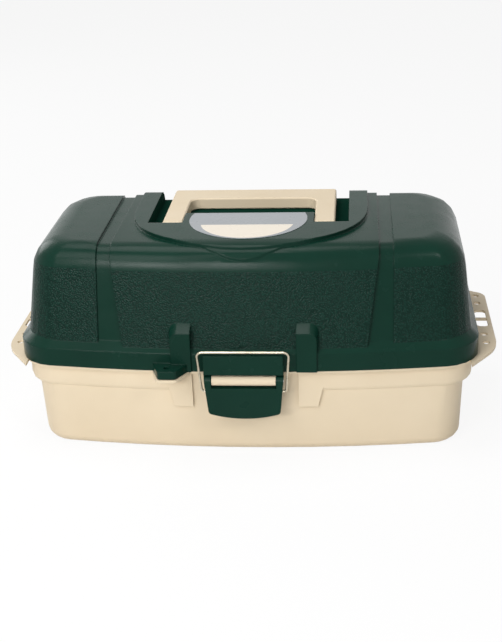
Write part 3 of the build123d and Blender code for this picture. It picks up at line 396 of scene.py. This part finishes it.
# %% Metals and film
def plated_metal(name, dark, light, gloss, streak):
    """Plated metal with fine rolling lines."""
    material = bpy.data.materials.new(name)
    material.use_nodes = True
    tree = material.node_tree
    shader = tree.nodes["Principled BSDF"]
    shader.inputs["Metallic"].default_value = 1.0
    place = tree.nodes.new("ShaderNodeTexCoord").outputs["Object"]
    squeeze = tree.nodes.new("ShaderNodeMapping")
    squeeze.inputs["Scale"].default_value = streak
    tree.links.new(place, squeeze.inputs["Vector"])
    lines = node(tree, "ShaderNodeTexNoise", Scale=1.0, Detail=4.0)
    tree.links.new(squeeze.outputs["Vector"], lines.inputs["Vector"])
    tree.links.new(two_tones(tree, lines.outputs["Fac"], dark, light), shader.inputs["Base Color"])
    uneven_gloss(tree, lines.outputs["Fac"], gloss)
    return material


def gloss_film(name, dark, light):
    """Printed film: even colour with faint mottling under a clear coat."""
    material = satin_plastic(name, dark, light, gloss=(0.25, 0.32), texture=0.01)
    shader = material.node_tree.nodes["Principled BSDF"]
    shader.inputs["Coat Weight"].default_value = 0.4
    shader.inputs["Coat Roughness"].default_value = 0.12
    return material


zinc = plated_metal(
    "zinc_plate", (0.42, 0.42, 0.43), (0.62, 0.62, 0.63), gloss=(0.28, 0.42), streak=(900, 90, 90)
)
wire_brass = plated_metal(
    "wire_brass", (0.46, 0.41, 0.31), (0.60, 0.54, 0.42), gloss=(0.26, 0.34), streak=(40, 300, 300)
)
print("finishes", len(bpy.data.materials))

# %% [markdown]
# ## Copies of the engineering meshes
#
# A node of the frame arrives as loose flat triangles, which shade like cut paper. It could be
# modelled again, but its shape is already exact. So a copy is made, freed of the frame's
# tags and stored normals, and merged until its faces share corners and its flat areas are one
# face each. The node itself stays as it is, hidden behind its copy.

# %% Copy and merge a node
MERGE = 0.01 * MM
FLAT_TURN = math.radians(0.4)


def only(piece):
    """Select one object alone and make it active."""
    clear_selection()
    piece.select_set(True)
    bpy.context.view_layer.objects.active = piece


def merged_copy(name, source):
    """A copy of a frame node with its triangles joined, free of the frame's tags."""
    only(frame["nodes"][source])
    bpy.ops.object.duplicate()
    piece = bpy.context.object
    piece.name = name
    bpy.ops.object.parent_clear(type="CLEAR_KEEP_TRANSFORM")
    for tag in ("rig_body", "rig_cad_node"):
        if tag in piece:
            del piece[tag]
    bpy.ops.mesh.customdata_custom_splitnormals_clear()
    bpy.ops.object.mode_set(mode="EDIT")
    bpy.ops.mesh.select_all(action="SELECT")
    bpy.ops.mesh.mark_sharp(clear=True)
    bpy.ops.mesh.remove_doubles(threshold=MERGE)
    bpy.ops.mesh.dissolve_limited(angle_limit=FLAT_TURN)
    bpy.ops.object.mode_set(mode="OBJECT")
    piece.data.materials.clear()
    return piece


print("frame nodes to dress", len(frame["nodes"]))

# %% [markdown]
# ## Calm shading and soft edges
#
# On a moulding the gentle turns shade smoothly and only true edges show. Smoothing by angle
# alone leaves dark smears on large walls next to narrow roundings, so edges that turn more
# than an angle are marked sharp by hand, and the normals are weighted by face size. Where
# a real edge is rolled or worn round, a narrow bevel is cut into the copy as well.

# %% Shade and round
LARGE_FACE_WEIGHT = 90


def shade(piece, angle):
    """Smooth below angle, sharp above it, with large faces keeping their own normal."""
    only(piece)
    bpy.ops.object.shade_smooth()
    bpy.ops.object.mode_set(mode="EDIT")
    bpy.ops.mesh.select_mode(type="EDGE")
    bpy.ops.mesh.select_all(action="DESELECT")
    bpy.ops.mesh.edges_select_sharp(sharpness=math.radians(angle))
    bpy.ops.mesh.mark_sharp()
    bpy.ops.mesh.select_mode(type="VERT")
    bpy.ops.object.mode_set(mode="OBJECT")
    weighted = piece.modifiers.new("weighted", "WEIGHTED_NORMAL")
    weighted.keep_sharp = True
    weighted.weight = LARGE_FACE_WEIGHT
    bpy.ops.object.modifier_apply(modifier=weighted.name)


def round_edges(piece, width, angle, segments):
    """A small rounding on every edge that turns more than angle."""
    only(piece)
    bevel = piece.modifiers.new("edge_round", "BEVEL")
    bevel.width = width
    bevel.segments = segments
    bevel.limit_method = "ANGLE"
    bevel.angle_limit = math.radians(angle)
    bevel.harden_normals = False
    bpy.ops.object.modifier_apply(modifier=bevel.name)


print("large faces weigh", LARGE_FACE_WEIGHT, "where 50 is even")

# %% [markdown]
# ## The lid
#
# Only the walls of the lid's raised panels are grained, from the crease above the skirt up to
# the rounding at the top. The channels between them, the skirt, the posts, the top and the
# inside are satin. The pocket that the handle folds into is shaded from most of the light, so
# it is nearly matt. The finishes could be painted as a mask, but the moulding's own
# edges divide them, so each face is given its finish by its place. Two tests say where a
# face is, with the sizes of the posts and channels from the engineering model.

# %% Tell the lid's faces apart
LID_MIDDLE = Vector((0, 0, 130 * MM))
OUTWARD = 0.02
CREASE_Z, ROUND_Z = 112.8 * MM, 178.0 * MM
POST_INNER, POST_OUTER, POST_TOP = 47.0 * MM, 70.5 * MM, 133.5 * MM
CHANNEL_FOOT, FOOT_Z, CHANNEL_LEAN = 109.4 * MM, 87.8 * MM, 0.1314
CHANNEL_INNER, CHANNEL_OUTER = 122.5 * MM, 135.5 * MM
SPARE = 0.5 * MM
POCKET_ROOM = 14.0 * MM
handle_low, handle_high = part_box("handle")


def is_grained(face):
    """Outer faces of the raised panels, above the shoulder."""
    x, y, z = face.center
    outward = face.normal.dot(face.center - LID_MIDDLE)
    if not CREASE_Z < z < ROUND_Z or outward < OUTWARD:
        return False
    panel_edge = min(CHANNEL_FOOT + (z - FOOT_Z) * CHANNEL_LEAN, CHANNEL_INNER)
    on_post = POST_INNER < abs(x) < POST_OUTER and z < POST_TOP
    in_channel = panel_edge - SPARE < abs(x) < CHANNEL_OUTER + SPARE
    return not (on_post or in_channel)


def is_in_pocket(face):
    """Faces of the sunk pocket that the handle folds into."""
    x, y, z = face.center
    beside = handle_low.x - POCKET_ROOM < x < handle_high.x + POCKET_ROOM
    behind = y > handle_low.y - POCKET_ROOM
    return beside and behind and handle_low.z - POCKET_ROOM < z < handle_high.z - MM


lid_faces = frame["nodes"]["lid_shell"].data.polygons
print("grained triangles", sum(is_grained(face) for face in lid_faces), "of", len(lid_faces))

# %% [markdown]
# With the tests ready, the lid is copied and merged, every face gets its finish, and the
# copy takes the node's place on the lid's body, so that it turns with the hinge.

# %% Dress the lid
SATIN, GRAIN, MATT = 0, 1, 2
SHELL_TURN = 32


def install(piece, body, slot, *nodes):
    """The piece rides on its body and stands for its nodes; slot is not used."""
    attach(piece, body)
    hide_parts(*nodes)
    print(piece.name, len(piece.data.polygons), "faces")


lid = merged_copy("lid_moulding", "lid_shell")
for material in (green_satin, green_grain_painted_light, green_matt):
    lid.data.materials.append(material)
for face in lid.data.polygons:
    if is_in_pocket(face):
        face.material_index = MATT
    else:
        face.material_index = GRAIN if is_grained(face) else SATIN
for finish in (SATIN, GRAIN, MATT):
    area = sum(face.area for face in lid.data.polygons if face.material_index == finish)
    print(lid.data.materials[finish].name, round(area * 1e4), "square centimetres")
shade(lid, SHELL_TURN)
install(lid, "lid", "lid_green", "lid_shell")

# %% [markdown]
# ## The base
#
# The base is one satin moulding in cream. It could be cut into pieces with finishes of
# their own, but its finish is even, so one material is enough, and the copy only needs calm
# shading.

# %% Dress the base
base = merged_copy("base_moulding", "base_shell")
base.data.materials.append(cream_satin)
shade(base, SHELL_TURN)
install(base, "base", "base_cream", "base_shell")

# %% [markdown]
# ## Handle and latch lever
#
# A hand closes round the handle, so its edges are well rounded. The engineering model has a
# flat chamfer there. A subdivision surface would soften it too, but would also shrink it, so
# a bevel on the remaining edges turns the chamfer into a soft round. The latch lever gets a
# smaller one, which catches the light along its rim.

# %% Round the handle and the lever
PART_TURN = 40

handle = merged_copy("carrying_handle", "handle")
handle.data.materials.append(cream_satin)
round_edges(handle, width=0.9 * MM, angle=30, segments=3)
shade(handle, PART_TURN)
install(handle, "handle", "base_cream", "handle")

lever = merged_copy("latch_lever_moulding", "latch_lever")
lever.data.materials.append(green_latch)
round_edges(lever, width=0.5 * MM, angle=40, segments=2)
shade(lever, PART_TURN)
install(lever, "latch_lever", "latch_green", "latch_lever")

# %% [markdown]
# ## The bail
#
# The bail is one piece of round wire with four bends. It could be a curve with a bevel, but
# here it is made as a wire bender works: a ring of points is pushed along each straight run
# and spun round each bend, and the finished wire is leaned back to its place. The frame's
# wire has flat sides, this one is round.

# %% Push, bend and close
QUARTER, BEND_STEPS = math.radians(90), 8


def push(x, y, z):
    """Extrude the selected end to a new place."""
    bpy.ops.mesh.extrude_region_move(TRANSFORM_OT_translate={"value": (x, y, z)})


def bend(x, z):
    """Spin the selected end by a quarter turn about a line along Y."""
    bpy.ops.mesh.spin(steps=BEND_STEPS, angle=QUARTER, center=(x, 0, z), axis=(0, 1, 0))


def start_ring(name, sides, radius, place):
    """A filled ring that faces along X, left in edit mode with all of it selected."""
    clear_selection()
    bpy.ops.mesh.primitive_circle_add(
        vertices=sides, radius=radius, fill_type="NGON", location=place, rotation=(0, QUARTER, 0)
    )
    piece = bpy.context.object
    piece.name = name
    bpy.ops.object.transform_apply(location=True, rotation=True)
    bpy.ops.object.mode_set(mode="EDIT")
    bpy.ops.mesh.select_all(action="SELECT")
    return piece


def close_up():
    """Join the doubled corners, turn the faces outward and leave edit mode."""
    bpy.ops.mesh.select_all(action="SELECT")
    bpy.ops.mesh.remove_doubles(threshold=MERGE)
    bpy.ops.mesh.normals_make_consistent(inside=False)
    bpy.ops.object.mode_set(mode="OBJECT")


print("a bend turns in", BEND_STEPS, "steps")

# %% [markdown]
# The wire starts at the right foot, which reaches inward into the lever. It runs up to the
# top, across it, and down to the left foot. It is bent standing upright at the origin, because
# there each run is along one axis, and only then moved to its pivot.

# %% Bend the wire
WIRE = 1.1 * MM
BEND, TOP_BEND = 3.0 * MM, 4.8 * MM
HALF_BOTTOM, HALF_TOP, FOOT = 38.9 * MM, 41.5 * MM, 8.0 * MM
bail_low, bail_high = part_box("latch_bail")
pivot = next(j for j in frame["joints"] if j["name"] == "latch_bail_pivot")["pos_m"]
bail_run, bail_rise = bail_low.y + WIRE - pivot[1], bail_high.z - WIRE - pivot[2]
length = math.hypot(bail_run, bail_rise)

bail = start_ring("bail_wire", sides=16, radius=WIRE, place=(HALF_BOTTOM - FOOT, 0, 0))
push(FOOT - BEND, 0, 0)
bend(HALF_BOTTOM - BEND, BEND)
push(HALF_TOP - HALF_BOTTOM, 0, length - BEND - TOP_BEND)
bend(HALF_TOP - TOP_BEND, length - TOP_BEND)
push(-2 * (HALF_TOP - TOP_BEND), 0, 0)
bend(-HALF_TOP + TOP_BEND, length - TOP_BEND)
push(HALF_TOP - HALF_BOTTOM, 0, BEND + TOP_BEND - length)
bend(-HALF_BOTTOM + BEND, BEND)
push(FOOT - BEND, 0, 0)
close_up()
bail.rotation_euler = (math.atan2(-bail_run, bail_rise), 0, 0)
bail.location = (0, pivot[1], pivot[2])
bpy.ops.object.transform_apply(location=True, rotation=True)
bail.data.materials.append(wire_brass)
shade(bail, angle=60)
install(bail, "latch_bail", "bail_wire", "latch_bail")
top = max(v.co.z for v in bail.data.vertices)
print("wire", 2 * WIRE / MM, "mm, top at", round(top / MM, 2), "of", round(bail_high.z / MM, 2))

# %% [markdown]
# ## The label
#
# A printed plate lies on the platform in front of the handle. Its silver border runs along the
# rear and narrows round the front of a pale field. The print could be modelled as thin
# layers, but ink has no thickness that shows, so the material draws it: a point is pale
# where it lies inside a circle and in front of a straight line.

# %% Print the label
SILVER = ((0.26, 0.28, 0.30), (0.31, 0.33, 0.35))
PALE = (0.82, 0.74, 0.62)
FIELD_RADIUS, FIELD_MARGIN, FIELD_DEPTH = 43.9 * MM, 1.6 * MM, 38.5 * MM
label_low, label_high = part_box("label")


def less_than(tree, value, limit):
    """1 where value is below limit, otherwise 0."""
    test = tree.nodes.new("ShaderNodeMath")
    test.operation = "LESS_THAN"
    test.inputs[1].default_value = limit
    tree.links.new(value, test.inputs[0])
    return test.outputs[0]


def printed_film(name, border, field, centre, radius, line_y):
    """Gloss film with a pale field inside a circle and in front of a line."""
    material = gloss_film(name, *border)
    tree = material.node_tree
    shader = tree.nodes["Principled BSDF"]
    ground = shader.inputs["Base Color"].links[0].from_socket
    place = tree.nodes.new("ShaderNodeTexCoord").outputs["Object"]
    reach = tree.nodes.new("ShaderNodeVectorMath")
    reach.operation = "DISTANCE"
    reach.inputs[1].default_value = centre
    tree.links.new(place, reach.inputs[0])
    axes = tree.nodes.new("ShaderNodeSeparateXYZ")
    tree.links.new(place, axes.inputs["Vector"])
    both = tree.nodes.new("ShaderNodeMath")
    both.operation = "MULTIPLY"
    tree.links.new(less_than(tree, reach.outputs["Value"], radius), both.inputs[0])
    tree.links.new(less_than(tree, axes.outputs["Y"], line_y), both.inputs[1])
    print_mix = tree.nodes.new("ShaderNodeMix")
    print_mix.data_type = "RGBA"
    print_mix.inputs["B"].default_value = (*field, 1)
    tree.links.new(both.outputs[0], print_mix.inputs["Factor"])
    tree.links.new(ground, print_mix.inputs["A"])
    tree.links.new(print_mix.outputs["Result"], shader.inputs["Base Color"])
    return material


field_centre = (0, label_low.y + FIELD_MARGIN + FIELD_RADIUS, label_high.z)
film = printed_film(
    "label_print", SILVER, PALE, centre=field_centre,
    radius=FIELD_RADIUS, line_y=label_low.y + FIELD_DEPTH,
)
label = merged_copy("label_film", "label")
label.data.materials.append(film)
round_edges(label, width=0.15 * MM, angle=40, segments=2)
shade(label, PART_TURN)
install(label, "lid", "label_plate", "label")

# %% [markdown]
# ## Rivets
#
# Every arm, link and tray turns on a rivet with a domed head. The frame's rivets have flat
# sides to stay light. A rivet could be a cylinder with a sphere on it, but a real one is formed
# from one bar, so one ring is pushed along and narrowed or widened at each step. A rivet is
# formed once for each set, copied along the arm or tray, and mirrored to the left side.

# %% Form one rivet
SHANK = 2.0 * MM
HEAD, HEAD_HEIGHT = 3.4 * MM, 1.1 * MM
DOME = ((0.0, 1.0), (0.45, 1.0), (0.8, 0.82), (1.0, 0.45))


def domed(neck, outward):
    """Profile of a domed head from its neck outwards, as (x, radius)."""
    head = [(neck + outward * rise * HEAD_HEIGHT, width * HEAD) for rise, width in DOME]
    return [(neck, SHANK)] + head


def rivet_profile(inner, outer, heads):
    """Profile from the inner to the outer end, with a head at each end that has one."""
    start = domed(inner + HEAD_HEIGHT, -1)[::-1] if "inner" in heads else [(inner, SHANK)]
    end = domed(outer - HEAD_HEIGHT, 1) if "outer" in heads else [(outer, SHANK)]
    return start + end


def formed_rivet(name, profile, y, z):
    """One rivet along X, its ring pushed from one point of the profile to the next."""
    x, radius = profile[0]
    piece = start_ring(name, sides=20, radius=radius, place=(x, y, z))
    for next_x, next_radius in profile[1:]:
        push(next_x - x, 0, 0)
        swell = next_radius / radius
        bpy.ops.transform.resize(value=(1, swell, swell), center_override=(next_x, y, z))
        x, radius = next_x, next_radius
    close_up()
    return piece


print("rivet head", 2 * HEAD / MM, "mm wide")

# %% [markdown]
# The frame says where a set stands: the heads at its two ends touch the box round its node, and
# the shanks start where the node is nearest the middle. Where both ends are the same place,
# the set has one rivet on each side.

# %% Copy the rivets
RIVETS = (
    ("arm_pivot_rivets", "base", ("inner",)),
    ("link_arm_rivets", "rear_arms", ("outer",)),
    ("link_lid_rivets", "lid", ("inner",)),
    ("tray_1_rivets", "tray_1", ("inner", "outer")),
    ("tray_2_rivets", "tray_2", ("inner", "outer")),
    ("tray_3_rivets", "tray_3", ("inner", "outer")),
)
for node_name, body, heads in RIVETS:
    low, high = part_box(node_name)
    inner = min(abs(v.co.x) for v in frame["nodes"][node_name].data.vertices)
    places = sorted({round(low.y + HEAD, 5), round(high.y - HEAD, 5)})
    rivets = formed_rivet(
        node_name.replace("rivets", "rivet_set"), rivet_profile(inner, high.x, heads),
        places[0], (low.z + high.z) / 2,
    )
    for y in places[1:]:
        bpy.ops.object.mode_set(mode="EDIT")
        bpy.ops.mesh.select_all(action="SELECT")
        bpy.ops.mesh.duplicate_move(TRANSFORM_OT_translate={"value": (0, y - places[0], 0)})
        bpy.ops.object.mode_set(mode="OBJECT")
    other_side = rivets.modifiers.new("other_side", "MIRROR")
    other_side.use_mirror_merge = False
    bpy.ops.object.modifier_apply(modifier=other_side.name)
    bpy.ops.object.mode_set(mode="EDIT")
    close_up()
    rivets.data.materials.append(zinc)
    shade(rivets, angle=35)
    install(rivets, body, "zinc_steel", node_name)

# %% [markdown]
# ## Arms, links, pins and trays
#
# The arms and links are punched from strip, whose edges are slightly rolled over, and the trays
# are moulded with soft rims. Their frame shapes are right, so each gets a copy with a narrow
# bevel instead of a new model. The loose dividers are plain plates and keep the frame's mesh.

# %% Soften the small parts
PINS = {"hinge_pins": "base", "handle_pins": "lid", "latch_lever_pin": "latch_lever"}
BAR_BODIES = {"rear_arm": "rear_arms", "front_arm": "front_arms", "lid_link": "lid_links"}
BARS = {f"{bar}_{side}": BAR_BODIES[bar] for bar in BAR_BODIES for side in ("left", "right")}
TRAYS = {f"tray_{n}": f"tray_{n}" for n in (1, 2, 3)}
METAL_EDGE, TRAY_EDGE = 0.3 * MM, 0.35 * MM
for group, width, material, slot in (
    (PINS, METAL_EDGE, zinc, "zinc_steel"),
    (BARS, METAL_EDGE, zinc, "zinc_steel"),
    (TRAYS, TRAY_EDGE, cream_tray, "tray_cream"),
):
    for node_name, body in group.items():
        piece = merged_copy(node_name + "_finished", node_name)
        piece.data.materials.append(material)
        round_edges(piece, width, angle=50, segments=2)
        shade(piece, PART_TURN)
        install(piece, body, slot, node_name)

for node_name, piece in frame["nodes"].items():
    if not piece.hide_render:
        piece.data.materials.clear()
        piece.data.materials.append(cream_tray)
        print("kept", node_name)
